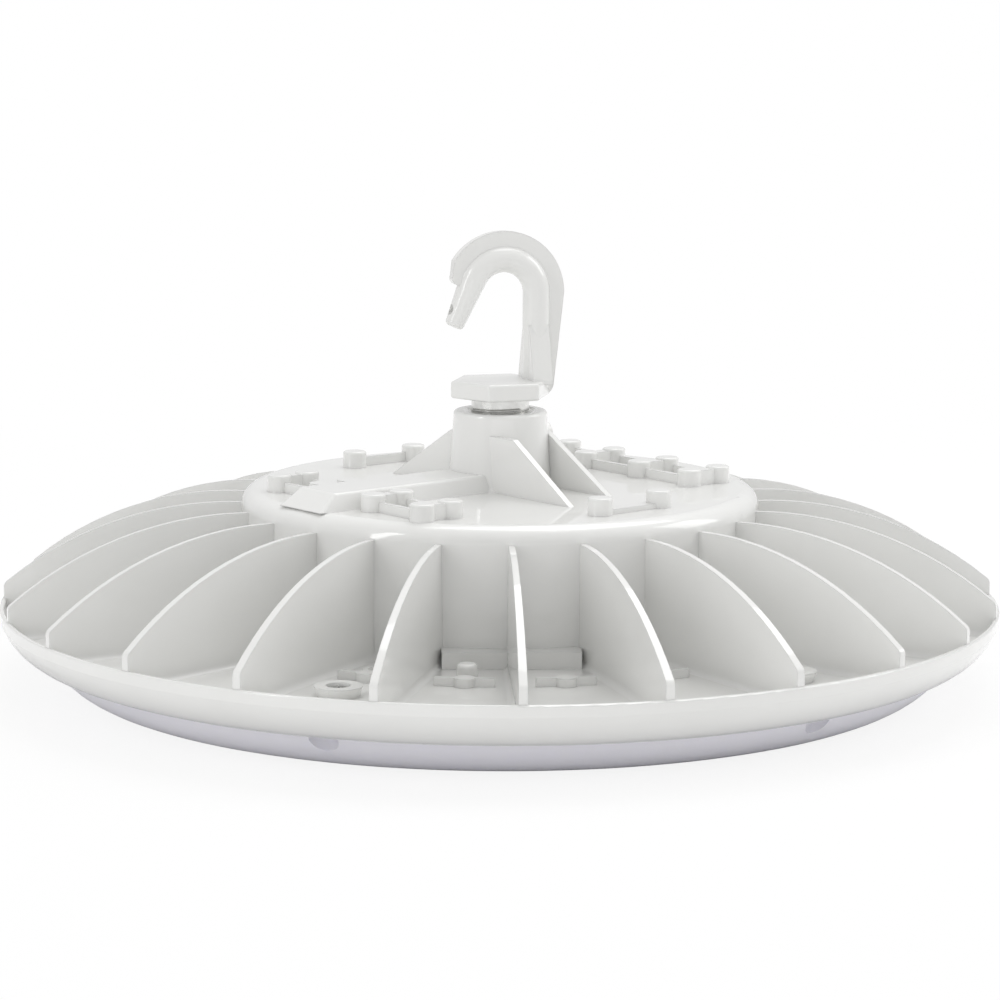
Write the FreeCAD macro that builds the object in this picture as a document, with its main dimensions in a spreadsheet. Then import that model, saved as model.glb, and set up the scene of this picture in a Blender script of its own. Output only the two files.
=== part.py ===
"""High bay light: a die-cast aluminium housing with radial fins, hung from a threaded hook.

The origin is on the light's axis at the flat underside of the lens, +Z points up, and sizes are in
millimetres. The wire duct on the deck runs towards -Y and the two gusset webs run along X.
"""
import FreeCAD, Part
import math
import operator
import os
import Sketcher
from FreeCAD import Placement, Rotation, Vector

# --- Driving sizes -----------------------------------------------------------------------------

SIZES = {
    # the casting, from the rim up to the tower
    "rim_radius": 207.0,
    "rim_drop": 18.4,
    "rim_shoulder": 4.8,
    "rim_bulge": 22.0,
    "rim_foot_radius": 192.3,
    "lip_width": 2.0,
    "lip_edge": 0.7,
    "floor_depth": 6.7,
    "floor_wall": 4.3,
    "floor_round": 5.0,
    "drum_radius": 107.4,
    "drum_flare": 1.2,
    "drum_height": 53.7,
    "drum_wall": 4.4,
    "deck_wall": 4.0,
    "deck_round": 7.0,
    "foot_round": 2.5,
    "tower_radius": 19.45,
    "tower_flare": 2.0,
    "tower_height": 31.5,
    "tower_round": 1.6,
    "bore_chamfer": 2.0,
    # the fins
    "fin_count": 24,
    "fin_height": 46.8,
    "fin_bend": 147.2,
    "fin_bend_radius": 112.0,
    "fin_crest": 2.4,
    "fin_foot": 3.6,
    "fin_tip_round": 3.0,
    # the tower's gusset webs and the wire duct
    "gusset_offset": 14.6,
    "gusset_wall": 2.8,
    "gusset_rise": 23.0,
    "gusset_long_foot": 62.0,
    "gusset_short_foot": 52.0,
    "gusset_long_top": 27.0,
    "gusset_short_top": 13.0,
    "duct_half_top": 11.5,
    "duct_half_foot": 14.0,
    "duct_reach_top": 94.5,
    "duct_reach_foot": 103.5,
    "duct_round": 1.5,
    # bosses and ribs on the deck
    "boss_radius": 5.0,
    "boss_height": 7.0,
    "boss_round": 1.0,
    "link_width": 5.4,
    "link_height": 6.2,
    "rib_wall": 2.0,
    "rib_height": 4.0,
    "ridge_width": 6.0,
    "ridge_height": 2.0,
    # features on the pocket floor
    "lens_circle": 173.0,
    "lens_boss_radius": 7.5,
    "lens_boss_height": 4.0,
    "lens_recess_radius": 4.6,
    "lens_recess_depth": 3.1,
    "pad_circle": 146.0,
    "pad_radius": 4.0,
    "pad_height": 3.4,
    "ring_rib_sweep": 9.0,
    "step_reach": 115.6,
    "step_width": 54.0,
    "step_height": 6.7,
    "post_circle": 135.6,
    "post_radius": 4.0,
    "post_height": 6.7,
    "post_round": 1.6,
    "ring_boss_radius": 5.5,
    "ring_boss_height": 2.6,
    "ring_boss_bore": 3.2,
    "ring_boss_depth": 2.0,
    # the lens and its seal
    "lens_radius": 188.2,
    "lens_flat_radius": 163.5,
    "lens_drop": 15.6,
    "lens_wall": 2.5,
    "lens_flange": 10.7,
    "lens_lug_radius": 4.8,
    "scoop_circle": 187.5,
    "scoop_radius": 6.0,
    "scoop_foot": 7.6,
    "scoop_top": 17.8,
    "lens_gap": 0.3,
    "skirt_gap": 0.5,
    "seal_inner": 180.0,
    "seal_outer": 185.0,
    "seal_groove": 2.0,
    # the hook and its stud
    "plate_corner": 21.5,
    "plate_thickness": 7.2,
    "plate_lift": 5.4,
    "plate_round": 1.2,
    "bar_radius": 5.6,
    "throat_radius": 8.7,
    "throat_shift": 1.0,
    "throat_rise": 35.6,
    "tip_lean": 23.5,
    "tip_length": 20.8,
    "tip_radius": 4.0,
    "tip_round": 1.8,
    "web_wall": 4.2,
    "web_reach": 25.8,
    "web_turn": 33.0,
    "web_foot": 22.6,
    "web_corner": 2.8,
    "web_tip_reach": 9.4,
    "flare_rise": 22.5,
    "flare_half_top": 4.4,
    "flare_half_foot": 10.2,
    "flare_length": 8.6,
    "keeper_radius": 2.15,
    "keeper_from_tip": 6.2,
    "hook_heading": -112.4,
    "stud_radius": 13.1,
    "stud_neck": 11.95,
    "stud_neck_length": 2.3,
    "stud_bore": 8.5,
    "stud_grip": 5.0,
    "stud_depth": 34.0,
    "thread_play": 0.25,
    "set_boss_radius": 5.0,
    "set_boss_reach": 24.5,
    "set_screw_radius": 3.0,
    "set_screw_drop": 11.7,
    "set_screw_proud": 1.4,
    "socket_radius": 1.6,
    # screws
    "screw_play": 0.2,
    "lens_shank": 1.9,
    "lens_head": 3.7,
    "lens_head_height": 2.5,
    "lens_screw_length": 20.0,
    "small_shank": 1.4,
    "small_head": 2.8,
    "small_head_height": 1.9,
    "small_length": 7.0,
    # the light engine
    "board_inner": 114.0,
    "board_outer": 163.0,
    "board_thickness": 1.6,
    "led_size": 3.0,
    "led_height": 0.7,
    "led_ring_1": 122.0,
    "led_ring_2": 138.0,
    "led_ring_3": 154.0,
    # the driver
    "tray_radius": 112.0,
    "tray_thickness": 1.2,
    "tray_circle": 98.5,
    "tray_lug_radius": 5.5,
    "tray_lug_height": 16.0,
    "driver_length": 150.0,
    "driver_width": 92.0,
    "driver_thickness": 1.6,
    "driver_inset": 7.0,
    "pillar_radius": 4.5,
    "pillar_length": 14.6,
    "film_thickness": 0.4,
    "lead_radius": 1.1,
    "lead_spacing": 5.0,
    "lead_bend": 12.0,
    "lead_hole": 3.0,
    "socket_width": 12.0,
    "socket_depth": 8.0,
    "socket_height": 4.4,
}

DOC = FreeCAD.newDocument("high_bay_light")
SHEET = DOC.addObject("Spreadsheet::Sheet", "Dims")


def fill_sheet():
    """Write each driving size into the sheet, with its name as the cell's alias."""
    for row, (name, number) in enumerate(SIZES.items(), start=1):
        SHEET.set(f"A{row}", name)
        SHEET.set(f"B{row}", str(number))
        SHEET.setAlias(f"B{row}", name)
    DOC.recompute()


# --- Sizes that stay bound to the sheet --------------------------------------------------------

ACTIONS = {"+": operator.add, "-": operator.sub, "*": operator.mul, "/": operator.truediv}


class Size:
    """A number now, and the text that works it out from the sheet when a size changes."""

    def __init__(self, number, text):
        self.number = float(number)
        self.text = text

    def joined(self, other, sign):
        other = as_size(other)
        number = ACTIONS[sign](self.number, other.number)
        return Size(number, f"({self.text} {sign} {other.text})")

    def __add__(self, other):
        return self.joined(other, "+")

    def __sub__(self, other):
        return self.joined(other, "-")

    def __mul__(self, other):
        return self.joined(other, "*")

    def __truediv__(self, other):
        return self.joined(other, "/")

    def __neg__(self):
        return Size(-self.number, f"(0 - {self.text})")


def as_size(value):
    return value if isinstance(value, Size) else Size(value, repr(float(value)))


def sized(name):
    return Size(SIZES[name], f"Dims.{name}")


def cosine(angle):
    angle = as_size(angle)
    return Size(math.cos(math.radians(angle.number)), f"cos({angle.text} * 1deg)")


def sine(angle):
    angle = as_size(angle)
    return Size(math.sin(math.radians(angle.number)), f"sin({angle.text} * 1deg)")


def root(value):
    return Size(math.sqrt(value.number), f"sqrt({value.text})")


def turned(x, y, angle):
    """The point (x, y) turned about the origin by an angle in degrees."""
    x, y = as_size(x), as_size(y)
    return (x * cosine(angle) - y * sine(angle), x * sine(angle) + y * cosine(angle))


def stepped(start, *moves):
    """A point reached from another one by moves, each a direction (x, y) and a distance."""
    x, y = start
    for (along_x, along_y), distance in moves:
        x = x + along_x * distance
        y = y + along_y * distance
    return (x, y)


# --- Sketches and features ---------------------------------------------------------------------

def bind(thing, prop, size):
    """Give a property its number, and the expression that keeps it bound to the sheet."""
    size = as_size(size)
    thing.setExpression(prop, size.text)


def new_body(name, compound=False):
    body = DOC.addObject("PartDesign::Body", name)
    body.Label = name
    body.AllowCompound = compound
    return body


def origin_part(body, role):
    return next(item for item in body.Origin.OriginFeatures if item.Role == role)


def sketch_on(body, name, plane, offset=0, turn=0):
    """A sketch on an origin plane of its body, turned about Z and moved along its normal."""
    sketch = body.newObject("Sketcher::SketchObject", name)
    sketch.AttachmentSupport = [(origin_part(body, plane), "")]
    sketch.MapMode = "FlatFace"
    offset, turn = as_size(offset), as_size(turn)
    upright = plane != "XY_Plane"
    spin = Rotation(Vector(0, 1, 0) if upright else Vector(0, 0, 1), turn.number)
    sketch.AttachmentOffset = Placement(spin.multVec(Vector(0, 0, offset.number)), spin)
    if upright:
        bind(sketch, ".AttachmentOffset.Base.x", offset * sine(turn))
        bind(sketch, ".AttachmentOffset.Base.z", offset * cosine(turn))
    else:
        bind(sketch, ".AttachmentOffset.Base.z", offset)
    if turn.number:
        bind(sketch, ".AttachmentOffset.Rotation.Angle", turn)
    return sketch


def pin_point(sketch, geometry, vertex, x, y):
    """Hold one point of a sketch at (x, y), both bound to the sheet."""
    for kind, axis, value in (("DistanceX", -2, as_size(x)), ("DistanceY", -1, as_size(y))):
        if abs(value.number) < 1e-9:
            sketch.addConstraint(Sketcher.Constraint("PointOnObject", geometry, vertex, axis))
        else:
            rule = Sketcher.Constraint(kind, -1, 1, geometry, vertex, value.number)
            index = sketch.addConstraint(rule)
            bind(sketch, f"Constraints[{index}]", value)


def arc_between(start, end, radius):
    """The arc from start to end: a positive radius turns left on the way, a negative one right."""
    first, last = (start, end) if radius > 0 else (end, start)
    chord = last - first
    reach = math.sqrt(max(radius * radius - chord.Length * chord.Length / 4, 0))
    normal = Vector(-chord.y, chord.x, 0).normalize()
    centre = (first + last) * 0.5 + normal * reach
    angles = [math.atan2(point.y - centre.y, point.x - centre.x) for point in (first, last)]
    return Part.ArcOfCircle(Part.Circle(centre, Vector(0, 0, 1), abs(radius)), *angles)


def outline(sketch, corners, closed=True):
    """Draw lines and arcs through corners (x, y) or (x, y, radius of the arc that arrives there)."""
    points = [Vector(as_size(c[0]).number, as_size(c[1]).number, 0) for c in corners]
    first = 0 if closed else 1
    edges = []
    for index in range(first, len(corners)):
        start = points[index - 1]
        end = points[index]
        if len(corners[index]) == 2:
            edge = sketch.addGeometry(Part.LineSegment(start, end), False)
            edges.append((edge, 1, 2))
            continue
        radius = as_size(corners[index][2])
        edge = sketch.addGeometry(arc_between(start, end, radius.number), False)
        edges.append((edge, 1, 2) if radius.number > 0 else (edge, 2, 1))
        size = radius if radius.number > 0 else -radius
        rule = sketch.addConstraint(Sketcher.Constraint("Radius", edge, size.number))
        bind(sketch, f"Constraints[{rule}]", size)
    for index in range(first, len(corners)):
        edge, _, arriving = edges[index - first]
        pin_point(sketch, edge, arriving, corners[index][0], corners[index][1])
        if closed or index + 1 < len(corners):
            following, leaving, _ = edges[(index - first + 1) % len(edges)]
            rule = Sketcher.Constraint("Coincident", edge, arriving, following, leaving)
            sketch.addConstraint(rule)
    if not closed:
        edge, leaving, _ = edges[0]
        pin_point(sketch, edge, leaving, corners[0][0], corners[0][1])


def circle(sketch, x, y, radius):
    centre = Vector(as_size(x).number, as_size(y).number, 0)
    shape = Part.Circle(centre, Vector(0, 0, 1), as_size(radius).number)
    edge = sketch.addGeometry(shape, False)
    pin_point(sketch, edge, 3, x, y)
    rule = sketch.addConstraint(Sketcher.Constraint("Radius", edge, as_size(radius).number))
    bind(sketch, f"Constraints[{rule}]", radius)


def axis_line(sketch, start, end):
    """A construction line in a sketch, to turn something about."""
    points = [Vector(x.number, y.number, 0) for x, y in (start, end)]
    edge = sketch.addGeometry(Part.LineSegment(*points), True)
    pin_point(sketch, edge, 1, *start)
    pin_point(sketch, edge, 2, *end)


def rectangle(sketch, left, low, right, high):
    outline(sketch, [(left, low), (right, low), (right, high), (left, high)])


def feature(body, kind, name, sketch, **settings):
    made = body.newObject(f"PartDesign::{kind}", name)
    made.Profile = sketch
    for key, value in settings.items():
        if isinstance(value, Size):
            bind(made, key, value)
        else:
            setattr(made, key, value)
    return made


def pad(body, name, sketch, length, **settings):
    return feature(body, "Pad", name, sketch, Length=as_size(length), **settings)


def pocket(body, name, sketch, length, **settings):
    return feature(body, "Pocket", name, sketch, Length=as_size(length), **settings)


def revolve(body, name, sketch, angle=360.0, kind="Revolution", axis="V_Axis", **settings):
    return feature(body, kind, name, sketch, ReferenceAxis=(sketch, [axis]), Angle=as_size(angle),
                   **settings)


def around(body, name, originals, count):
    """Repeat features about the light's axis."""
    pattern = body.newObject("PartDesign::PolarPattern", name)
    pattern.Originals = originals
    pattern.Axis = (origin_part(body, "Z_Axis"), [""])
    pattern.Angle = 360
    bind(pattern, "Occurrences", count)
    body.Tip = pattern
    return pattern


def round_edges(body, name, radius, wanted):
    """Fillet each edge of the body's newest feature that the test picks out."""
    DOC.recompute()
    base = body.Tip
    names = [f"Edge{n}" for n, edge in enumerate(base.Shape.Edges, start=1) if wanted(edge)]
    fillet = body.newObject("PartDesign::Fillet", name)
    fillet.Base = (base, names)
    bind(fillet, "Radius", radius)
    return fillet


# --- Levels and radii that several pieces share ------------------------------------------------

fill_sheet()

FOOT_Z = sized("lens_drop")
LIP_Z = FOOT_Z + sized("rim_drop")
FLOOR_Z = LIP_Z - sized("floor_depth")
UNDER_Z = FLOOR_Z - sized("floor_wall")
DECK_Z = FLOOR_Z + sized("drum_height")
CAVITY_Z = DECK_Z - sized("deck_wall")
TOWER_Z = DECK_Z + sized("tower_height")
PLATE_Z = TOWER_Z + sized("plate_lift")
PLATE_TOP_Z = PLATE_Z + sized("plate_thickness")
LENS_TOP_Z = UNDER_Z - sized("lens_gap")
BOARD_Z = UNDER_Z - sized("board_thickness")
TRAY_Z = UNDER_Z - sized("tray_thickness")
PILLAR_Z = CAVITY_Z - sized("pillar_length")
DRIVER_Z = PILLAR_Z - sized("film_thickness") - sized("driver_thickness")
LENS_SEAT_Z = FLOOR_Z + sized("lens_boss_height") - sized("lens_recess_depth")
SET_SCREW_Z = TOWER_Z - sized("set_screw_drop")

RIM_INNER = sized("rim_radius") - sized("lip_width")
CAVITY_RADIUS = sized("drum_radius") - sized("drum_wall")
BORE_RADIUS = sized("stud_radius") + sized("thread_play")
PITCH = as_size(360) / sized("fin_count")
DRIVER_X = sized("driver_length") / 2 - sized("driver_inset")
DRIVER_Y = sized("driver_width") / 2 - sized("driver_inset")

DRIVER_CORNERS = [(DRIVER_X * sign_x, DRIVER_Y * sign_y) for sign_x in (-1, 1) for sign_y in (-1, 1)]
DRIVER_SOCKET_X = sized("driver_length") / 2 - 2
LEAD_X = sized("driver_length") / 2 + sized("lead_bend")

LENS_SCREWS = 6
BOARD_SCREWS = 12
TRAY_SCREWS = 6
LED_COUNTS = (30, 36, 42)
TRAY_PLACE = 2
STEP_PLACE = -2.5
SEAM_PLACE = 3.3
POST_PLACE = -3
RING_PLACE = -4
LENS_BOSS_DRAFT = 20.0
SUNK = 1.0


# --- Housing -----------------------------------------------------------------------------------

def crest_z(radius):
    """Height of the fins' crest line, an arc, at a distance from the axis."""
    reach = radius - sized("fin_bend_radius")
    centre = FLOOR_Z + sized("fin_height") - sized("fin_bend")
    return centre + root(sized("fin_bend") * sized("fin_bend") - reach * reach)


def housing_fins(body):
    """One drafted fin with rounded feet, repeated round the axis and turned to the crest line."""
    crest = sized("fin_crest") / 2
    foot = sized("fin_foot") / 2
    corner = sized("foot_round")
    inner = sized("drum_radius") - sized("drum_wall") * 0.75
    far = sized("rim_radius") + sized("deck_round")
    low = FLOOR_Z - SUNK / 2
    top = FLOOR_Z + sized("fin_height") + SUNK
    section = sketch_on(body, "fin_section", "YZ_Plane", inner, PITCH / 2)
    outline(section, [
        (-foot - corner, low),
        (foot + corner, low),
        (foot + corner, FLOOR_Z),
        (foot, FLOOR_Z + corner, -corner),
        (crest, top),
        (-crest, top),
        (-foot, FLOOR_Z + corner),
        (-foot - corner, FLOOR_Z, -corner),
    ])
    fin = pad(body, "fin", section, far - inner)
    around(body, "fin_ring", [fin], sized("fin_count"))
    tip = sized("rim_radius") - sized("lip_edge") * 1.3
    lean = (tip - sized("fin_bend_radius")) / sized("fin_bend")
    shoulder = tip - sized("fin_tip_round") * (as_size(1) - lean)
    fall = sized("fin_tip_round") * root(as_size(1) - lean * lean)
    buried = RIM_INNER + sized("lip_edge") / 2
    trim = sketch_on(body, "crest_line", "XZ_Plane")
    outline(trim, [
        (inner - SUNK, crest_z(inner - SUNK)),
        (shoulder, crest_z(shoulder), -sized("fin_bend")),
        (tip, crest_z(shoulder) - fall, -sized("fin_tip_round")),
        (tip, LIP_Z - SUNK),
        (buried, LIP_Z - SUNK),
        (buried, low - SUNK),
        (far + SUNK, low - SUNK),
        (far + SUNK, top + SUNK),
        (inner - SUNK, top + SUNK),
    ])
    revolve(body, "crest_cut", trim, kind="Groove")


def housing_shell(body):
    """The turned form: tower, deck, drum, floor, rim and the hollow underneath."""
    tower_foot = sized("tower_radius") + sized("tower_flare")
    drum_foot = sized("drum_radius") + sized("drum_flare")
    skirt = sized("lens_radius") + sized("skirt_gap")
    groove_z = UNDER_Z + sized("seal_groove")
    sketch = sketch_on(body, "shell_profile", "XZ_Plane", 0, PITCH * SEAM_PLACE)
    outline(sketch, [
        (0, CAVITY_Z),
        (0, TOWER_Z),
        (sized("tower_radius") - sized("tower_round"), TOWER_Z),
        (sized("tower_radius"), TOWER_Z - sized("tower_round"), -sized("tower_round")),
        (tower_foot, DECK_Z + sized("foot_round")),
        (tower_foot + sized("foot_round"), DECK_Z, sized("foot_round")),
        (sized("drum_radius") - sized("deck_round"), DECK_Z),
        (sized("drum_radius"), DECK_Z - sized("deck_round"), -sized("deck_round")),
        (drum_foot, FLOOR_Z + sized("foot_round")),
        (drum_foot + sized("foot_round"), FLOOR_Z, sized("foot_round")),
        (RIM_INNER - sized("floor_round"), FLOOR_Z),
        (RIM_INNER, FLOOR_Z + sized("floor_round"), sized("floor_round")),
        (RIM_INNER, LIP_Z - sized("lip_edge")),
        (RIM_INNER + sized("lip_edge"), LIP_Z, -sized("lip_edge")),
        (sized("rim_radius") - sized("lip_edge"), LIP_Z),
        (sized("rim_radius"), LIP_Z - sized("lip_edge"), -sized("lip_edge")),
        (sized("rim_radius") - sized("lip_edge") / 2, LIP_Z - sized("rim_shoulder")),
        (sized("rim_foot_radius"), FOOT_Z, -sized("rim_bulge")),
        (skirt, FOOT_Z),
        (skirt, UNDER_Z),
        (sized("seal_outer"), UNDER_Z),
        (sized("seal_outer"), groove_z),
        (sized("seal_inner"), groove_z),
        (sized("seal_inner"), UNDER_Z),
        (CAVITY_RADIUS, UNDER_Z),
        (CAVITY_RADIUS, CAVITY_Z),
    ])
    revolve(body, "shell", sketch)


def gusset_webs(body):
    """Two upright webs, one each side of the bore, each longer towards its own end."""
    for side, name in ((-1, "front"), (1, "back")):
        sketch = sketch_on(body, f"gusset_{name}_plan", "XZ_Plane", sized("gusset_offset") * -side)
        top = DECK_Z + sized("gusset_rise")
        corners = [
            (sized("gusset_short_foot") * side, DECK_Z - SUNK),
            (sized("gusset_long_foot") * -side, DECK_Z - SUNK),
            (sized("gusset_long_foot") * -side, DECK_Z),
            (sized("gusset_long_top") * -side, top),
            (sized("gusset_short_top") * side, top),
            (sized("gusset_short_foot") * side, DECK_Z),
        ]
        outline(sketch, corners)
        pad(body, f"gusset_{name}", sketch, sized("gusset_wall"), SideType="Symmetric")


def wire_duct(body):
    """The raised duct that runs from the tower to the edge of the deck, with drafted sides."""
    inner = sized("tower_radius") / 2
    foot = sketch_on(body, "duct_foot_plan", "XY_Plane", DECK_Z)
    half = sized("duct_half_foot")
    rectangle(foot, -half, -sized("duct_reach_foot"), half, -inner)
    top = sketch_on(body, "duct_top_plan", "XY_Plane", DECK_Z + sized("boss_height"))
    half = sized("duct_half_top")
    rectangle(top, -half, -sized("duct_reach_top"), half, -inner)
    loft = body.newObject("PartDesign::AdditiveLoft", "duct")
    loft.Profile = foot
    loft.Sections = [top]
    loft.Ruled = True
    outer = -SIZES["tower_radius"] - SIZES["tower_flare"]
    deck = DECK_Z.number

    def on_duct(edge):
        centre = edge.CenterOfMass
        return centre.y < outer and centre.z > deck + 1 and abs(centre.x) < SIZES["duct_half_foot"]

    round_edges(body, "duct_rounds", sized("duct_round"), on_duct)


BOSS_COLUMNS = (-43.0, -14.0, 20.0, 51.0)
BOSS_ROWS = ((-82.0, -68.0), (60.0, 76.0))
END_BOSSES = ((83.0, (-18.0, 13.0)), (-76.0, (-18.0, 14.0)))


def deck_bosses(body):
    """Ejector bosses in linked pairs, four pairs to a side, and a pair at each end."""
    level = DECK_Z - SUNK
    circles = sketch_on(body, "boss_plan", "XY_Plane", level)
    for pair in BOSS_ROWS:
        for x in BOSS_COLUMNS:
            for y in pair:
                circle(circles, x, y, sized("boss_radius"))
    for x, pair in END_BOSSES:
        for y in pair:
            circle(circles, x, y, sized("boss_radius"))
    pad(body, "bosses", circles, sized("boss_height") + SUNK)
    top = (DECK_Z + sized("boss_height")).number

    def on_boss_top(edge):
        box = edge.BoundBox
        full = abs(box.XLength - 2 * SIZES["boss_radius"]) < 0.1
        return full and abs(box.YLength - box.XLength) < 0.1 and abs(box.ZMin - top) < 0.01

    round_edges(body, "boss_rounds", sized("boss_round"), on_boss_top)


def deck_ribs(body):
    """Low ribs from boss to boss, and the links that join the two bosses of a pair."""
    level = DECK_Z - SUNK
    half = sized("link_width") / 2
    links = sketch_on(body, "link_plan", "XY_Plane", level)
    for near, far in BOSS_ROWS:
        for x in BOSS_COLUMNS:
            rectangle(links, -half + x, near, half + x, far)
    pad(body, "links", links, sized("link_height") + SUNK)
    half = sized("rib_wall") / 2
    first, second, third, last = BOSS_COLUMNS
    ribs = sketch_on(body, "rib_plan", "XY_Plane", level)
    for y in BOSS_ROWS[1]:
        rectangle(ribs, first, -half + y, last, half + y)
    for y in BOSS_ROWS[0]:
        rectangle(ribs, third, -half + y, last, half + y)
        rectangle(ribs, first, -half + y, second, half + y)
    x, (near, far) = END_BOSSES[1]
    rectangle(ribs, -half + x, near, half + x, far)
    pad(body, "ribs", ribs, sized("rib_height") + SUNK)
    x, (near, far) = END_BOSSES[0]
    half = sized("ridge_width") / 2
    ridge = sketch_on(body, "ridge_plan", "XY_Plane", level)
    rectangle(ridge, -half + x, near, half + x, far)
    pad(body, "ridge", ridge, sized("ridge_height") + SUNK)


def floor_features(body):
    """Screw bosses, pads, ring ribs, the step, a post and a ring boss between the fins."""
    level = FLOOR_Z - SUNK
    boss = sketch_on(body, "lens_boss_plan", "XY_Plane", level)
    circle(boss, sized("lens_circle"), 0, sized("lens_boss_radius"))
    boss = pad(body, "lens_boss", boss, sized("lens_boss_height") + SUNK, TaperAngle=LENS_BOSS_DRAFT)
    around(body, "lens_bosses", [boss], LENS_SCREWS)
    disc = sketch_on(body, "pad_plan", "XY_Plane", level)
    circle(disc, sized("pad_circle"), 0, sized("pad_radius"))
    disc = pad(body, "pad", disc, sized("pad_height") + SUNK)
    around(body, "pads", [disc], sized("fin_count"))
    sweep = sized("ring_rib_sweep")
    rib = sketch_on(body, "ring_rib_section", "XZ_Plane", 0, sweep / -2)
    half = sized("rib_wall") / 2
    middle = sized("pad_circle")
    rectangle(rib, middle - half, level, middle + half, FLOOR_Z + sized("pad_height"))
    rib = revolve(body, "ring_rib", rib, sweep)
    around(body, "ring_ribs", [rib], sized("fin_count"))
    step = sketch_on(body, "step_plan", "XY_Plane", level, PITCH * STEP_PLACE)
    half = sized("step_width") / 2
    rectangle(step, CAVITY_RADIUS + SUNK, -half, sized("step_reach"), half)
    pad(body, "step", step, sized("step_height") + SUNK)
    post = sketch_on(body, "post_profile", "XZ_Plane", 0, PITCH * POST_PLACE)
    middle = sized("post_circle")
    edge = middle + sized("post_radius")
    top = FLOOR_Z + sized("post_height")
    rounding = sized("post_round")
    outline(post, [
        (middle, level),
        (edge, level),
        (edge, top - rounding),
        (edge - rounding, top, rounding),
        (middle, top),
    ])
    axis_line(post, (middle, level), (middle, top))
    revolve(body, "post", post, axis="Axis0")
    ring = sketch_on(body, "ring_boss_plan", "XY_Plane", level, PITCH * RING_PLACE)
    circle(ring, middle, 0, sized("ring_boss_radius"))
    pad(body, "ring_boss", ring, sized("ring_boss_height") + SUNK)
    top = FLOOR_Z + sized("ring_boss_height")
    ring = sketch_on(body, "ring_bore_plan", "XY_Plane", top, PITCH * RING_PLACE)
    circle(ring, middle, 0, sized("ring_boss_bore"))
    pocket(body, "ring_bore", ring, sized("ring_boss_depth"))


def inner_bosses(body):
    """Bosses in the hollow: pillars that carry the driver, and lugs for the tray's screws."""
    pillars = sketch_on(body, "pillar_plan", "XY_Plane", PILLAR_Z)
    for x, y in DRIVER_CORNERS:
        circle(pillars, x, y, sized("pillar_radius"))
    pad(body, "pillars", pillars, sized("pillar_length") + SUNK)
    lug = sketch_on(body, "lug_plan", "XY_Plane", UNDER_Z, PITCH * TRAY_PLACE)
    circle(lug, sized("tray_circle"), 0, sized("tray_lug_radius"))
    lug = pad(body, "lug", lug, sized("tray_lug_height"))
    around(body, "lugs", [lug], TRAY_SCREWS)
    boss = sketch_on(body, "set_boss_plan", "XZ_Plane", -BORE_RADIUS)
    circle(boss, 0, SET_SCREW_Z, sized("set_boss_radius"))
    pad(body, "set_boss", boss, sized("set_boss_reach") - BORE_RADIUS, Reversed=True)


def housing_holes(body):
    """The bore with its chamfer, and every screw hole."""
    bore = sketch_on(body, "bore_profile", "XZ_Plane")
    outline(bore, [
        (0, CAVITY_Z - SUNK),
        (BORE_RADIUS, CAVITY_Z - SUNK),
        (BORE_RADIUS, TOWER_Z - sized("bore_chamfer")),
        (BORE_RADIUS + sized("bore_chamfer"), TOWER_Z),
        (BORE_RADIUS + sized("bore_chamfer"), TOWER_Z + SUNK),
        (0, TOWER_Z + SUNK),
    ])
    revolve(body, "bore", bore, kind="Groove")
    top = FLOOR_Z + sized("lens_boss_height")
    recess = sketch_on(body, "lens_recess_plan", "XY_Plane", top)
    circle(recess, sized("lens_circle"), 0, sized("lens_recess_radius"))
    recess = pocket(body, "lens_recess", recess, sized("lens_recess_depth"))
    hole = sketch_on(body, "lens_hole_plan", "XY_Plane", top)
    circle(hole, sized("lens_circle"), 0, sized("lens_shank") + sized("screw_play"))
    hole = pocket(body, "lens_hole", hole, top - UNDER_Z + SUNK)
    around(body, "lens_holes", [recess, hole], LENS_SCREWS)
    radius = sized("small_shank") + sized("screw_play")
    depth = sized("small_length") + SUNK
    hole = sketch_on(body, "board_hole_plan", "XY_Plane", UNDER_Z, PITCH)
    circle(hole, sized("pad_circle"), 0, radius)
    hole = pocket(body, "board_hole", hole, depth - sized("board_thickness"), Reversed=True)
    around(body, "board_holes", [hole], BOARD_SCREWS)
    hole = sketch_on(body, "tray_hole_plan", "XY_Plane", UNDER_Z, PITCH * TRAY_PLACE)
    circle(hole, sized("tray_circle"), 0, radius)
    hole = pocket(body, "tray_hole", hole, depth, Reversed=True)
    around(body, "tray_holes", [hole], TRAY_SCREWS)
    holes = sketch_on(body, "pillar_hole_plan", "XY_Plane", PILLAR_Z)
    for x, y in DRIVER_CORNERS:
        circle(holes, x, y, radius)
    pocket(body, "pillar_holes", holes, depth, Reversed=True)
    hole = sketch_on(body, "set_hole_plan", "XZ_Plane", -sized("set_boss_reach"))
    circle(hole, 0, SET_SCREW_Z, sized("set_screw_radius") + sized("screw_play"))
    pocket(body, "set_hole", hole, sized("set_boss_reach") - BORE_RADIUS + SUNK, Reversed=True)


def housing():
    """The one casting that carries everything else."""
    body = new_body("housing", compound=True)
    housing_fins(body)
    housing_shell(body)
    gusset_webs(body)
    wire_duct(body)
    deck_bosses(body)
    deck_ribs(body)
    floor_features(body)
    inner_bosses(body)
    housing_holes(body)


# --- Hook and stud -----------------------------------------------------------------------------

def hook():
    """A cast hook on a hexagonal plate: round bar, thin outer web, drafted tip with a keeper hole."""
    body = new_body("hook")
    hexagon = sketch_on(body, "plate_plan", "XY_Plane", PLATE_Z)
    outline(hexagon, [turned(sized("plate_corner"), 0, 60 * corner) for corner in range(6)])
    pad(body, "plate", hexagon, sized("plate_thickness"))
    round_edges(body, "plate_rounds", sized("plate_round"), lambda edge: True)
    hook_bar(body)
    hook_tip(body)
    hook_web(body)
    hook_flare(body)
    hook_holes(body)
    bind(body, ".Placement.Rotation.Angle", sized("hook_heading"))


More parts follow.
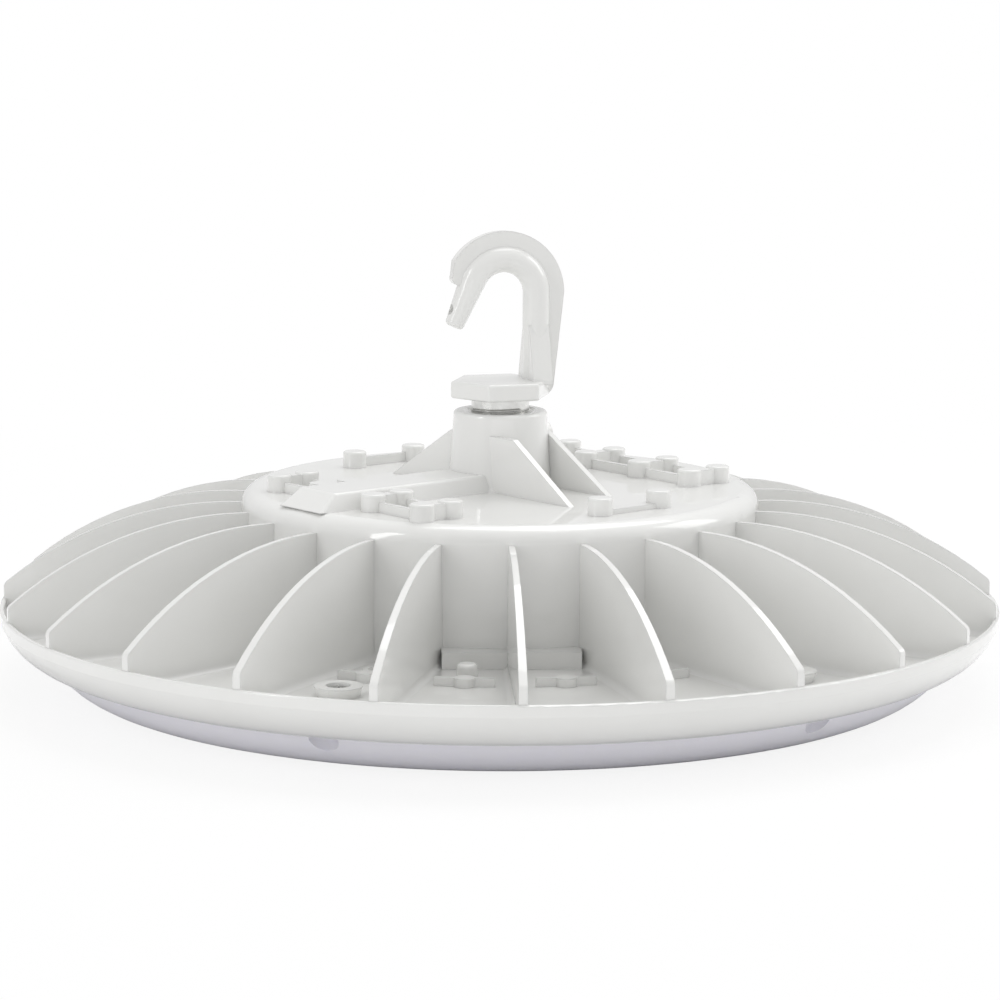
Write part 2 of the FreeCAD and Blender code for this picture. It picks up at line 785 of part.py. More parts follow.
BAR_CURVE = sized("throat_radius") + sized("bar_radius")
BAR_CENTRE = (-sized("throat_shift"), PLATE_TOP_Z + sized("throat_rise"))
SHANK_X = BAR_CENTRE[0] - BAR_CURVE
ALONG_TIP = (sine(sized("tip_lean")), -cosine(sized("tip_lean")))
ACROSS_TIP = (cosine(sized("tip_lean")), sine(sized("tip_lean")))
BEND_END = stepped(BAR_CENTRE, (ACROSS_TIP, BAR_CURVE))


def hook_bar(body):
    """The round bar: up the shank and over the throat to where the tip leg starts."""
    start = PLATE_TOP_Z - sized("plate_thickness") / 2
    path = sketch_on(body, "bar_path", "XZ_Plane")
    outline(path, [
        (SHANK_X, start),
        (SHANK_X, BAR_CENTRE[1]),
        (*BEND_END, -BAR_CURVE),
    ], closed=False)
    section = sketch_on(body, "bar_section", "XY_Plane", start)
    circle(section, SHANK_X, 0, sized("bar_radius"))
    pipe = body.newObject("PartDesign::AdditivePipe", "bar")
    pipe.Profile = section
    pipe.Spine = (path, ["Edge1", "Edge2"])


def hook_tip(body):
    """The straight leg, tapering to a rounded tip."""
    length = sized("tip_length")
    rounding = sized("tip_round")
    tip = stepped(BEND_END, (ALONG_TIP, length))
    sketch = sketch_on(body, "tip_profile", "XZ_Plane")
    outline(sketch, [
        BEND_END,
        tip,
        stepped(tip, (ACROSS_TIP, sized("tip_radius") - rounding)),
        (*stepped(BEND_END, (ALONG_TIP, length - rounding), (ACROSS_TIP, sized("tip_radius"))),
         rounding),
        stepped(BEND_END, (ACROSS_TIP, sized("bar_radius"))),
    ])
    axis_line(sketch, BEND_END, tip)
    revolve(body, "tip", sketch, axis="Axis0")


def hook_web(body):
    """The thin web round the outside of the bar, ending in a round corner above the tip."""
    centre_x, centre_z = BAR_CENTRE
    reach = sized("web_reach")
    turn = sized("web_turn")
    foot = sized("web_foot")
    corner = sized("web_corner")
    sketch = sketch_on(body, "web_profile", "XZ_Plane")
    outline(sketch, [
        stepped(BEND_END, (ALONG_TIP, corner * 1.5)),
        stepped(BEND_END, (ALONG_TIP, corner * 1.5), (ACROSS_TIP, sized("bar_radius"))),
        (*stepped(BEND_END, (ALONG_TIP, corner * 0.5), (ACROSS_TIP, sized("web_tip_reach"))), corner),
        (centre_x + reach * cosine(turn), centre_z + reach * sine(turn)),
        (centre_x - reach, centre_z, reach),
        (-foot, PLATE_Z + corner * 2),
        (-foot + corner * 2, PLATE_Z, corner * 2),
        (SHANK_X, PLATE_Z),
        (SHANK_X, centre_z),
        (*BEND_END, -BAR_CURVE),
    ])
    pad(body, "web", sketch, sized("web_wall"), SideType="Symmetric")


def hook_flare(body):
    """The shank's foot spreads sideways to the width of the plate's corner."""
    sketch = sketch_on(body, "flare_profile", "YZ_Plane", SHANK_X - sized("flare_length") / 2)
    top = PLATE_TOP_Z + sized("flare_rise")
    low = PLATE_TOP_Z - sized("plate_round") * 1.5
    outline(sketch, [
        (-sized("flare_half_foot"), low),
        (sized("flare_half_foot"), low),
        (sized("flare_half_foot"), PLATE_TOP_Z),
        (sized("flare_half_top"), top),
        (-sized("flare_half_top"), top),
        (-sized("flare_half_foot"), PLATE_TOP_Z),
    ])
    pad(body, "flare", sketch, sized("flare_length"))


def hook_holes(body):
    """The stud's blind hole in the plate, and the keeper hole across the tip."""
    seat = sketch_on(body, "stud_seat_plan", "XY_Plane", PLATE_Z)
    circle(seat, 0, 0, BORE_RADIUS)
    pocket(body, "stud_seat", seat, sized("stud_grip") + sized("thread_play"), Reversed=True)
    middle = stepped(BEND_END, (ALONG_TIP, sized("tip_length") - sized("keeper_from_tip")))
    reach = sized("bar_radius") + SUNK
    start = stepped(middle, (ACROSS_TIP, -reach))
    end = stepped(middle, (ACROSS_TIP, reach))
    hole = sketch_on(body, "keeper_profile", "XZ_Plane")
    radius = sized("keeper_radius")
    outline(hole, [start, end, stepped(end, (ALONG_TIP, -radius)), stepped(start, (ALONG_TIP, -radius))])
    axis_line(hole, start, end)
    revolve(body, "keeper_hole", hole, kind="Groove", axis="Axis0")


def hook_stud():
    """The steel nipple: threaded in the tower and in the plate, with a neck under the plate."""
    body = new_body("hook_stud")
    radius = sized("stud_radius")
    top = PLATE_Z + sized("stud_grip")
    neck_low = PLATE_Z - sized("stud_neck_length")
    sketch = sketch_on(body, "stud_profile", "XZ_Plane")
    outline(sketch, [
        (sized("stud_bore"), neck_low - sized("stud_depth")),
        (radius, neck_low - sized("stud_depth")),
        (radius, neck_low),
        (sized("stud_neck"), neck_low),
        (sized("stud_neck"), PLATE_Z),
        (radius, PLATE_Z),
        (radius, top),
        (sized("stud_bore"), top),
    ])
    revolve(body, "stud", sketch)


def hook_set_screw():
    """The headless screw that locks the stud in the tower."""
    body = new_body("hook_set_screw")
    end = sized("set_boss_reach") + sized("set_screw_proud")
    sketch = sketch_on(body, "set_screw_plan", "XZ_Plane", -end)
    circle(sketch, 0, SET_SCREW_Z, sized("set_screw_radius"))
    pad(body, "set_screw", sketch, end - sized("stud_radius"))
    socket = sketch_on(body, "socket_plan", "XZ_Plane", -end)
    outline(socket, [(cosine(60 * n) * sized("socket_radius"),
                      SET_SCREW_Z + sine(60 * n) * sized("socket_radius")) for n in range(6)])
    pocket(body, "socket", socket, sized("set_screw_radius"))


# --- Screws ------------------------------------------------------------------------------------

def screw(body, name, circle_radius, angle, seat_z, rise, sizes, length):
    """A pan-head screw beside the axis; rise is 1 with the head on top, -1 with it below."""
    shank, head, height = (sized(f"{sizes}_{item}") for item in ("shank", "head", "head_height"))
    x = as_size(circle_radius)
    chamfer = height / 2
    top = seat_z + height * rise
    sketch = sketch_on(body, f"{name}_profile", "XZ_Plane", 0, angle)
    outline(sketch, [
        (x, seat_z - length * rise),
        (x + shank, seat_z - length * rise),
        (x + shank, seat_z),
        (x + head, seat_z),
        (x + head, top - chamfer * rise),
        (x + head - chamfer, top),
        (x, top),
    ])
    axis_line(sketch, (x, seat_z), (x, top))
    return revolve(body, name, sketch, axis="Axis0")


def ring_of_screws(node, count, *details):
    body = new_body(node, compound=True)
    first = screw(body, f"{node}_one", *details)
    around(body, f"{node}_ring", [first], count)


def driver_screws():
    """Four screws up through the driver's board into the pillars."""
    body = new_body("driver_screws", compound=True)
    for name, radius, length, turned_round in (
            ("shanks", sized("small_shank"), sized("small_length"), False),
            ("heads", sized("small_head"), sized("small_head_height"), True)):
        sketch = sketch_on(body, f"{name}_plan", "XY_Plane", DRIVER_Z)
        for x, y in DRIVER_CORNERS:
            circle(sketch, x, y, radius)
        pad(body, name, sketch, length, Reversed=turned_round)


# --- Lens and seal -----------------------------------------------------------------------------

def lens():
    """The moulded dish: a screw lug under each lens screw, and a scoop beside it in the wall."""
    body = new_body("lens", compound=True)
    lug = sketch_on(body, "lens_lug_plan", "XY_Plane")
    circle(lug, sized("lens_circle"), 0, sized("lens_lug_radius"))
    lug = pad(body, "lens_lug", lug, LENS_TOP_Z)
    around(body, "lens_lugs", [lug], LENS_SCREWS)
    backing = sketch_on(body, "scoop_backing_plan", "XY_Plane")
    circle(backing, sized("scoop_circle"), 0, sized("scoop_radius") + sized("lens_wall"))
    backing = pad(body, "scoop_backing", backing, sized("scoop_top") + sized("lens_wall"))
    around(body, "scoop_backings", [backing], LENS_SCREWS)
    lens_dish(body)
    scoop = sketch_on(body, "scoop_profile", "XZ_Plane")
    middle = sized("scoop_circle")
    radius = sized("scoop_radius")
    low = sized("scoop_foot")
    outline(scoop, [
        (middle, low),
        (middle + radius, low + radius, radius),
        (middle + radius, sized("scoop_top")),
        (middle, sized("scoop_top")),
    ])
    axis_line(scoop, (middle, low), (middle, sized("scoop_top")))
    scoop = revolve(body, "scoop", scoop, kind="Groove", axis="Axis0")
    hole = sketch_on(body, "lug_hole_plan", "XY_Plane", LENS_TOP_Z)
    circle(hole, sized("lens_circle"), 0, sized("lens_shank") + sized("screw_play"))
    depth = sized("lens_screw_length") - (LENS_SEAT_Z - LENS_TOP_Z) + sized("screw_play")
    hole = pocket(body, "lug_hole", hole, depth)
    around(body, "lug_holes", [scoop, hole], LENS_SCREWS)


def lens_dish(body):
    """Trim what stands outside the middle of the wall, then turn the dish round it."""
    flat = sized("lens_flat_radius")
    rise = sized("lens_drop")
    wall = sized("lens_wall")
    radius = sized("lens_radius")
    run = radius - flat
    curve = (run * run + rise * rise) / (rise * 2)
    trim = sketch_on(body, "lens_trim_profile", "XZ_Plane", 0, PITCH)
    middle = curve - wall / 2
    middle_run = run - wall / 2
    middle_rise = curve - root(middle * middle - middle_run * middle_run)
    outline(trim, [
        (flat - SUNK * 6, -SUNK),
        (radius + SUNK * 9, -SUNK),
        (radius + SUNK * 9, LENS_TOP_Z + SUNK),
        (radius - wall / 2, LENS_TOP_Z + SUNK),
        (radius - wall / 2, middle_rise),
        (flat, wall / 2, -middle),
        (flat - SUNK * 6, wall / 2),
    ])
    revolve(body, "lens_trim", trim, kind="Groove")
    inner_curve = curve - wall
    inner_run = run - wall
    inner_rise = curve - root(inner_curve * inner_curve - inner_run * inner_run)
    flange_low = LENS_TOP_Z - wall
    sketch = sketch_on(body, "lens_profile", "XZ_Plane", 0, PITCH)
    outline(sketch, [
        (0, 0),
        (flat, 0),
        (radius, rise, curve),
        (radius, LENS_TOP_Z),
        (radius - sized("lens_flange"), LENS_TOP_Z),
        (radius - sized("lens_flange"), flange_low),
        (radius - wall, flange_low),
        (radius - wall, inner_rise),
        (flat, wall, -inner_curve),
        (0, wall),
    ])
    revolve(body, "dish", sketch)


def ring_plate(node, outer, inner, low, thickness):
    """A flat ring as a body, ready for more features."""
    body = new_body(node)
    sketch = sketch_on(body, f"{node}_plan", "XY_Plane", low)
    circle(sketch, 0, 0, outer)
    circle(sketch, 0, 0, inner)
    pad(body, f"{node}_ring", sketch, thickness)
    return body


def lens_seal():
    """The soft ring in the housing's groove, pressed by the lens flange."""
    height = UNDER_Z + sized("seal_groove") - LENS_TOP_Z
    ring_plate("lens_seal", sized("seal_outer"), sized("seal_inner"), LENS_TOP_Z, height)


# --- Light engine ------------------------------------------------------------------------------

def led_board():
    """The ring of aluminium board that the light sources sit on, screwed under the floor."""
    body = ring_plate("led_board", sized("board_outer"), sized("board_inner"), BOARD_Z,
                      sized("board_thickness"))
    hole = sketch_on(body, "led_board_hole_plan", "XY_Plane", BOARD_Z, PITCH)
    circle(hole, sized("pad_circle"), 0, sized("small_shank") + sized("screw_play"))
    hole = pocket(body, "led_board_hole", hole, sized("board_thickness"), Reversed=True)
    around(body, "led_board_holes", [hole], BOARD_SCREWS)


def leds():
    """Three rings of light sources on the board's underside."""
    body = new_body("leds", compound=True)
    half = sized("led_size") / 2
    for ring, count in enumerate(LED_COUNTS, start=1):
        radius = sized(f"led_ring_{ring}")
        sketch = sketch_on(body, f"led_{ring}_plan", "XY_Plane", BOARD_Z, 180 / count)
        rectangle(sketch, radius - half, -half, radius + half, half)
        one = pad(body, f"led_{ring}", sketch, sized("led_height"), Reversed=True)
        around(body, f"led_ring_{ring}", [one], count)


def led_socket():
    """The board's connector, at the inner edge, with its opening towards the axis."""
    body = new_body("led_socket")
    half = sized("socket_width") / 2
    sketch = sketch_on(body, "led_socket_plan", "XY_Plane", BOARD_Z)
    start = sized("board_inner") + sized("screw_play")
    rectangle(sketch, start, -half, start + sized("socket_depth"), half)
    pad(body, "led_socket_block", sketch, sized("socket_height"), Reversed=True)


# --- Driver ------------------------------------------------------------------------------------

def driver_tray():
    """The sheet that closes the hollow, with screw holes and a slot for the leads."""
    body = new_body("driver_tray")
    sketch = sketch_on(body, "tray_plan", "XY_Plane", TRAY_Z)
    circle(sketch, 0, 0, sized("tray_radius"))
    pad(body, "tray", sketch, sized("tray_thickness"))
    slot = sketch_on(body, "lead_slot_plan", "XY_Plane", TRAY_Z)
    half = sized("lead_spacing") / 2 + sized("lead_hole")
    middle = LEAD_X + sized("lead_bend") / 3
    rectangle(slot, middle - sized("lead_bend") / 2, -half, middle + sized("lead_bend") / 2, half)
    pocket(body, "lead_slot", slot, sized("tray_thickness"), Reversed=True)
    hole = sketch_on(body, "tray_screw_plan", "XY_Plane", TRAY_Z, PITCH * TRAY_PLACE)
    circle(hole, sized("tray_circle"), 0, sized("small_shank") + sized("screw_play"))
    hole = pocket(body, "tray_screw_hole", hole, sized("tray_thickness"), Reversed=True)
    around(body, "tray_screw_holes", [hole], TRAY_SCREWS)


def drilled_sheet(node, low, thickness, extra):
    """A rectangular sheet with a hole at each driver screw."""
    body = new_body(node)
    half_x = sized("driver_length") / 2 + extra
    half_y = sized("driver_width") / 2 + extra
    sketch = sketch_on(body, f"{node}_plan", "XY_Plane", low)
    rectangle(sketch, -half_x, -half_y, half_x, half_y)
    for x, y in DRIVER_CORNERS:
        circle(sketch, x, y, sized("small_shank") + sized("screw_play"))
    pad(body, f"{node}_sheet", sketch, thickness)


def hung_block(node, x, y, width, depth, height):
    """A block that hangs under the driver's board."""
    body = new_body(node)
    sketch = sketch_on(body, f"{node}_plan", "XY_Plane", DRIVER_Z)
    half_x, half_y = as_size(width) / 2, as_size(depth) / 2
    rectangle(sketch, -half_x + x, -half_y + y, half_x + x, half_y + y)
    pad(body, f"{node}_block", sketch, height, Reversed=True)
    return body


def transformer():
    """A ferrite core with a wider winding round its middle."""
    body = hung_block("transformer", 16.0, 0.0, 36.0, 26.0, 27.0)
    winding = sketch_on(body, "winding_plan", "XY_Plane", DRIVER_Z - 4)
    rectangle(winding, 4.0, -20.0, 28.0, 20.0)
    pad(body, "winding", winding, 19.0, Reversed=True)


def choke():
    """A toroid lying flat under the board."""
    ring = DOC.addObject("Part::Torus", "choke")
    ring.Label = "choke"
    ring.Radius1 = 10.0
    ring.Radius2 = 4.5
    ring.Placement = Placement(Vector(-30.0, 24.0, 0), Rotation())
    bind(ring, ".Placement.Base.z", DRIVER_Z - 4.5)


def capacitors():
    """Two tall electrolytic cans."""
    body = new_body("capacitors", compound=True)
    sketch = sketch_on(body, "can_plan", "XY_Plane", DRIVER_Z)
    circle(sketch, -22.0, -24.0, 9.0)
    circle(sketch, -43.0, -24.0, 9.0)
    pad(body, "cans", sketch, 31.0, Reversed=True)


def heat_bracket():
    """The aluminium angle that cools the driver's switches."""
    body = new_body("heat_bracket")
    sketch = sketch_on(body, "bracket_profile", "YZ_Plane", 34.0)
    outline(sketch, [(38.0, DRIVER_Z), (26.0, DRIVER_Z), (26.0, DRIVER_Z - 2), (36.0, DRIVER_Z - 2),
                     (36.0, DRIVER_Z - 24), (38.0, DRIVER_Z - 24)])
    pad(body, "bracket", sketch, 26.0)


def terminal_block():
    """Three-way screw terminals at the board's end, with a wire entry for each."""
    body = hung_block("terminal_block", -62.0, 0.0, 12.0, 30.0, 13.0)
    entries = sketch_on(body, "entry_plan", "YZ_Plane", -68.0)
    for y in (-9.0, 0.0, 9.0):
        circle(entries, y, DRIVER_Z - 7, 2.6)
    pocket(body, "entries", entries, 8.0, Reversed=True)


def leads():
    """Two insulated wires from the driver's socket, down through the tray and to the board."""
    body = new_body("led_leads", compound=True)
    low = BOARD_Z - sized("socket_height") / 2
    high = DRIVER_Z - sized("socket_height") / 2
    bend = sized("lead_bend")
    for side, name in ((-1, "minus"), (1, "plus")):
        y = sized("lead_spacing") / 2 * side
        path = sketch_on(body, f"lead_{name}_path", "XZ_Plane", -y)
        outline(path, [
            (sized("board_inner") + sized("screw_play"), low),
            (LEAD_X + bend, low),
            (LEAD_X, low + bend, -bend),
            (LEAD_X, high - bend),
            (LEAD_X - bend, high, bend),
            (DRIVER_SOCKET_X, high),
        ], closed=False)
        section = sketch_on(body, f"lead_{name}_section", "YZ_Plane",
                            sized("board_inner") + sized("screw_play"))
        circle(section, y, low, sized("lead_radius"))
        pipe = body.newObject("PartDesign::AdditivePipe", f"lead_{name}")
        pipe.Profile = section
        pipe.Spine = (path, [f"Edge{n}" for n in range(1, 6)])


# --- The whole light ---------------------------------------------------------------------------

def export_parts(folder):
    """Check every object, then write each piece to its own STEP file."""
    for item in DOC.Objects:
        if "Invalid" in item.State or "Error" in item.State:
            raise RuntimeError(f"{item.Name} did not compute: {item.State}")
    pieces = [item for item in DOC.Objects if item.TypeId in ("PartDesign::Body", "Part::Torus")]
    for piece in pieces:
        if piece.Shape.isNull() or not piece.Shape.isValid():
            raise RuntimeError(f"{piece.Label} has no valid shape")
    os.makedirs(folder, exist_ok=True)
    for piece in pieces:
        piece.Shape.exportStep(os.path.join(folder, f"{piece.Label}.step"))
        print(f"{piece.Label}: {len(piece.Shape.Solids)} solid(s), {piece.Shape.Volume:.0f} mm3")


housing()
hook()
hook_stud()
hook_set_screw()
lens()
lens_seal()
ring_of_screws("lens_screws", LENS_SCREWS, sized("lens_circle"), 0, LENS_SEAT_Z, 1, "lens",
               sized("lens_screw_length"))
led_board()
leds()
ring_of_screws("led_board_screws", BOARD_SCREWS, sized("pad_circle"), PITCH, BOARD_Z, -1, "small",
               sized("small_length"))
led_socket()
driver_tray()
ring_of_screws("driver_tray_screws", TRAY_SCREWS, sized("tray_circle"), PITCH * TRAY_PLACE, TRAY_Z,
               -1, "small", sized("small_length"))
drilled_sheet("driver_board", DRIVER_Z, sized("driver_thickness"), 0)
drilled_sheet("insulating_film", PILLAR_Z - sized("film_thickness"), sized("film_thickness"), 3.0)
driver_screws()
hung_block("driver_socket", DRIVER_SOCKET_X - sized("socket_depth") / 2, 0.0, sized("socket_depth"),
           sized("socket_width"), sized("socket_height"))
transformer()
choke()
capacitors()
heat_bracket()
terminal_block()
leads()
DOC.recompute()
export_parts("parts")
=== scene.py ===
"""High bay light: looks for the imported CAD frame, section by section as the light is put together.

Sizes are in metres. +Z is up, the lens's flat bottom is at z = 0 and the axis is x = y = 0.
"""
import math
import bpy
from mathutils import Matrix, Vector


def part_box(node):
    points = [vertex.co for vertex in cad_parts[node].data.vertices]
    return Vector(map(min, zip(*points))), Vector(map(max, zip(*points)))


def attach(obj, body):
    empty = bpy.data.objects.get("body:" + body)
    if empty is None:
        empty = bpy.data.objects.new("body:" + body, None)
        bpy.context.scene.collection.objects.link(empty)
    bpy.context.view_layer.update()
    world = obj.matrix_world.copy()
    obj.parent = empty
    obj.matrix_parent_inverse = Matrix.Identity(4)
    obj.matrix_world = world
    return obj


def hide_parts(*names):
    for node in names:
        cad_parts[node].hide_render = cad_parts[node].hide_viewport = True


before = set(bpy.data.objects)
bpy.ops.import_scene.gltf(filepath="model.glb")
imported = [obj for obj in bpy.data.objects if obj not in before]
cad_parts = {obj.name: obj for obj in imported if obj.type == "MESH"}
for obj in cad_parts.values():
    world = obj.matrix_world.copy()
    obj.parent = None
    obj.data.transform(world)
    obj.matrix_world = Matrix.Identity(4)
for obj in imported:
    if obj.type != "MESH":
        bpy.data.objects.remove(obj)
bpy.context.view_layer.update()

# --- Camera ------------------------------------------------------------------------------------
# A long lens from about 1.3 m away, a little above the deck and tilted 9 degrees down. The wire
# duct is to the left.

view_turn = math.radians(50.1)
camera_tilt = math.radians(90 - 9.253)
camera_roll = math.radians(0.238)
camera_reach = 1.33958
camera_height = 0.29266
focal_length_mm = 117.295
sensor_width_mm = 36.0

lens_data = bpy.data.cameras.new("camera")
lens_data.lens = focal_length_mm
lens_data.sensor_width = sensor_width_mm
camera = bpy.data.objects.new("camera", lens_data)
bpy.context.scene.collection.objects.link(camera)
camera.matrix_world = (
    Matrix.Translation((camera_reach * math.sin(view_turn), -camera_reach * math.cos(view_turn),
                        camera_height))
    @ Matrix.Rotation(view_turn, 4, "Z")
    @ Matrix.Rotation(camera_tilt, 4, "X")
    @ Matrix.Rotation(camera_roll, 4, "Z"))
bpy.context.scene.camera = camera
bpy.context.scene.view_settings.view_transform = "Standard"

# --- Housing -----------------------------------------------------------------------------------
# One aluminium die casting, blasted and powder coated gloss white all over. The mouth of the
# tower's bore is machined after coating, so its chamfer is bare metal.

coat_white = (0.80, 0.80, 0.785, 1)
coat_thin = (0.765, 0.765, 0.748, 1)
bare_metal = (0.78, 0.78, 0.77, 1)
cloud_scale = 26.0
peel_scale = 900.0
ripple_scale = 160.0
peel_share = 0.25
thin_share = 0.5
coat_relief = 0.00004
edge_softness = 0.0007
coat_rough = 0.32
cloud_rough = 0.1
machined_smoother = 0.14
mouth_radius = 0.01541
mouth_low = 0.0998


class Value:
    """A socket's value: arithmetic on it adds the Math nodes that work it out."""

    def __init__(self, tree, socket):
        self.tree = tree
        self.socket = socket

    def worked(self, operation, *others):
        return node(self.tree, "ShaderNodeMath", {"operation": operation},
                    dict(enumerate((self, *others))))

    def __add__(self, other):
        return self.worked("ADD", other)

    __radd__ = __add__

    def __mul__(self, other):
        return self.worked("MULTIPLY", other)

    __rmul__ = __mul__

    def __sub__(self, other):
        return self.worked("SUBTRACT", other)

    def __rsub__(self, other):
        return self * -1 + other

    def __lt__(self, other):
        return self.worked("LESS_THAN", other)

    def __gt__(self, other):
        return self.worked("GREATER_THAN", other)

    def between(self, low, high):
        """0 below low, 1 above high, and even in between."""
        return node(self.tree, "ShaderNodeMapRange", {},
                    {"Value": self, "From Min": low, "From Max": high})


def node(tree, kind, settings, sockets, output=0):
    """Add a node with its settings and socket values, and give back one of its outputs."""
    made = tree.nodes.new(kind)
    for name, value in settings.items():
        setattr(made, name, value)
    for key, value in sockets.items():
        if isinstance(value, Value):
            tree.links.new(value.socket, made.inputs[key])
        else:
            made.inputs[key].default_value = value
    return Value(tree, made.outputs[output])


class Finish:
    """A material in the making, with a principled shader at its end."""

    def __init__(self, name, **constants):
        self.material = bpy.data.materials.new(name)
        self.material.use_nodes = True
        self.tree = self.material.node_tree
        self.tree.nodes.clear()
        self.shader = self.tree.nodes.new("ShaderNodeBsdfPrincipled")
        output = self.tree.nodes.new("ShaderNodeOutputMaterial")
        self.tree.links.new(self.shader.outputs[0], output.inputs[0])
        self.place = node(self.tree, "ShaderNodeTexCoord", {}, {}, "Object")
        for name, value in constants.items():
            self.shader.inputs[name.replace("_", " ")].default_value = value

    def feeds(self, name, value):
        """Link a value to one of the shader's sockets."""
        self.tree.links.new(value.socket, self.shader.inputs[name])

    def noise(self, scale, detail=2.0):
        """Noise over the piece, with about as many blotches to the metre as its scale."""
        return node(self.tree, "ShaderNodeTexNoise", {},
                    {"Vector": self.place, "Scale": scale, "Detail": detail})

    def blended(self, factor, first, second):
        """A colour between two colours, each given or from a node."""
        mix = self.tree.nodes.new("ShaderNodeMix")
        mix.data_type = "RGBA"
        for key, value in ((0, factor), (6, first), (7, second)):
            if isinstance(value, Value):
                self.tree.links.new(value.socket, mix.inputs[key])
            else:
                mix.inputs[key].default_value = value
        return Value(self.tree, mix.outputs[2])

    def bumped(self, height, distance, normal=None):
        """Raise the surface by up to the distance, over its own or another normal."""
        sockets = {"Height": height, "Distance": distance}
        if normal:
            sockets["Normal"] = normal
        self.feeds("Normal", node(self.tree, "ShaderNodeBump", {}, sockets))


def put_on(name, finish):
    """Give a CAD node a finish in each of its slots."""
    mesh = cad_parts[name].data
    if not mesh.materials:
        mesh.materials.append(finish.material)
    for slot in range(len(mesh.materials)):
        mesh.materials[slot] = finish.material


def powder_coat(name, machined=None):
    """Gloss white powder: faint orange peel, a little uneven in thickness; machined is bare metal."""
    finish = Finish(name, IOR=1.45, Coat_Weight=1.0, Coat_Roughness=0.025, Coat_IOR=1.5)
    cloud = finish.noise(cloud_scale, 3.0).between(0.35, 0.7)
    peel = finish.noise(peel_scale, 1.0)
    ripple = finish.noise(ripple_scale)
    colour = finish.blended(cloud * thin_share, coat_white, coat_thin)
    rough = coat_rough + cloud * cloud_rough
    if machined:
        where = machined(finish)
        colour = finish.blended(where, colour, bare_metal)
        rough = rough - where * machined_smoother
        finish.feeds("Metallic", where)
    finish.feeds("Base Color", colour)
    finish.feeds("Roughness", rough)
    soft_edge = node(finish.tree, "ShaderNodeBevel", {"samples": 4}, {"Radius": edge_softness})
    finish.bumped(peel * peel_share + ripple, coat_relief, soft_edge)
    return finish


def bore_mouth(finish):
    """1 on the chamfer and wall of the tower's bore, 0 elsewhere."""
    parts = finish.tree.nodes.new("ShaderNodeSeparateXYZ")
    finish.tree.links.new(finish.place.socket, parts.inputs[0])
    x, y, z = (Value(finish.tree, parts.outputs[axis]) for axis in range(3))
    distance = (x * x + y * y).worked("SQRT")
    return (distance < mouth_radius) * (z > mouth_low)


put_on("housing", powder_coat("housing_coat", bore_mouth))

# --- Hook --------------------------------------------------------------------------------------
# A cast steel hook on a hexagonal plate, coated in the same powder as the housing. The plate's
# blind hole takes the stud.

put_on("hook", powder_coat("hook_coat"))

# --- Stud and set screw ------------------------------------------------------------------------
# A zinc-plated steel nipple with 14 threads to the inch, screwed into the tower and into the hook's
# plate, with a plain neck between. A black headless screw in the tower's back boss locks it.

grain_scale = 420.0
grain_rough = 0.18
worn_share = 0.72
smooth_limit = math.radians(32)
stud_low, stud_top = (corner.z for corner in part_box("hook_stud"))
stud_core = 0.01195
stud_bore = 0.0085
stud_sides = 72
thread_crest = 0.01328
thread_depth = 0.002
thread_pitch = 0.0254 / 14
thread_turns = 17
thread_steps = 48
thread_start = 0.0012
thread_foot_share = 0.94
thread_crest_share = 0.12
crest_margin = 0.0001
weld_distance = 1e-7


def steel(name, colour, roughness):
    """Bright steel with a fine grain."""
    finish = Finish(name, Metallic=1.0)
    grain = finish.noise(grain_scale, 4.0)
    worn = tuple(channel * worn_share for channel in colour[:3]) + (1,)
    finish.feeds("Base Color", finish.blended(grain, colour, worn))
    finish.feeds("Roughness", grain * grain_rough + roughness)
    return finish


def deselected():
    """Leave edit mode and let go of everything."""
    if bpy.context.object and bpy.context.object.mode == "EDIT":
        bpy.ops.object.mode_set(mode="OBJECT")
    bpy.ops.object.select_all(action="DESELECT")


def taken_up(piece):
    """Make a piece the active one and the only one selected."""
    deselected()
    bpy.context.view_layer.objects.active = piece
    piece.select_set(True)


def pick(piece, wanted, kind="faces"):
    """Open a piece for editing with only the faces or edges that pass the test selected."""
    taken_up(piece)
    bpy.ops.object.mode_set(mode="EDIT")
    bpy.ops.mesh.select_mode(type="FACE" if kind == "faces" else "EDGE")
    bpy.ops.mesh.select_all(action="DESELECT")
    bpy.ops.object.mode_set(mode="OBJECT")
    mesh = piece.data
    for item in mesh.polygons if kind == "faces" else mesh.edges:
        item.select = wanted([mesh.vertices[index].co for index in item.vertices])
    bpy.ops.object.mode_set(mode="EDIT")


def joined_by(piece, other, operation):
    """Add or cut another closed piece, which is then gone."""
    taken_up(piece)
    modifier = piece.modifiers.new("join", "BOOLEAN")
    modifier.operation = operation
    modifier.object = other
    modifier.solver = "EXACT"
    bpy.ops.object.modifier_apply(modifier="join")
    bpy.data.objects.remove(other)


def placed(piece, name, finish, node_name):
    """Settle a new piece's place in its mesh, smooth it, and let it stand for a CAD node."""
    taken_up(piece)
    bpy.ops.object.transform_apply(location=True, rotation=True, scale=True)
    bpy.ops.object.shade_smooth_by_angle(angle=smooth_limit)
    piece.name = name
    piece.data.materials.clear()
    piece.data.materials.append(finish.material)
    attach(piece, "root")
    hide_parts(node_name)


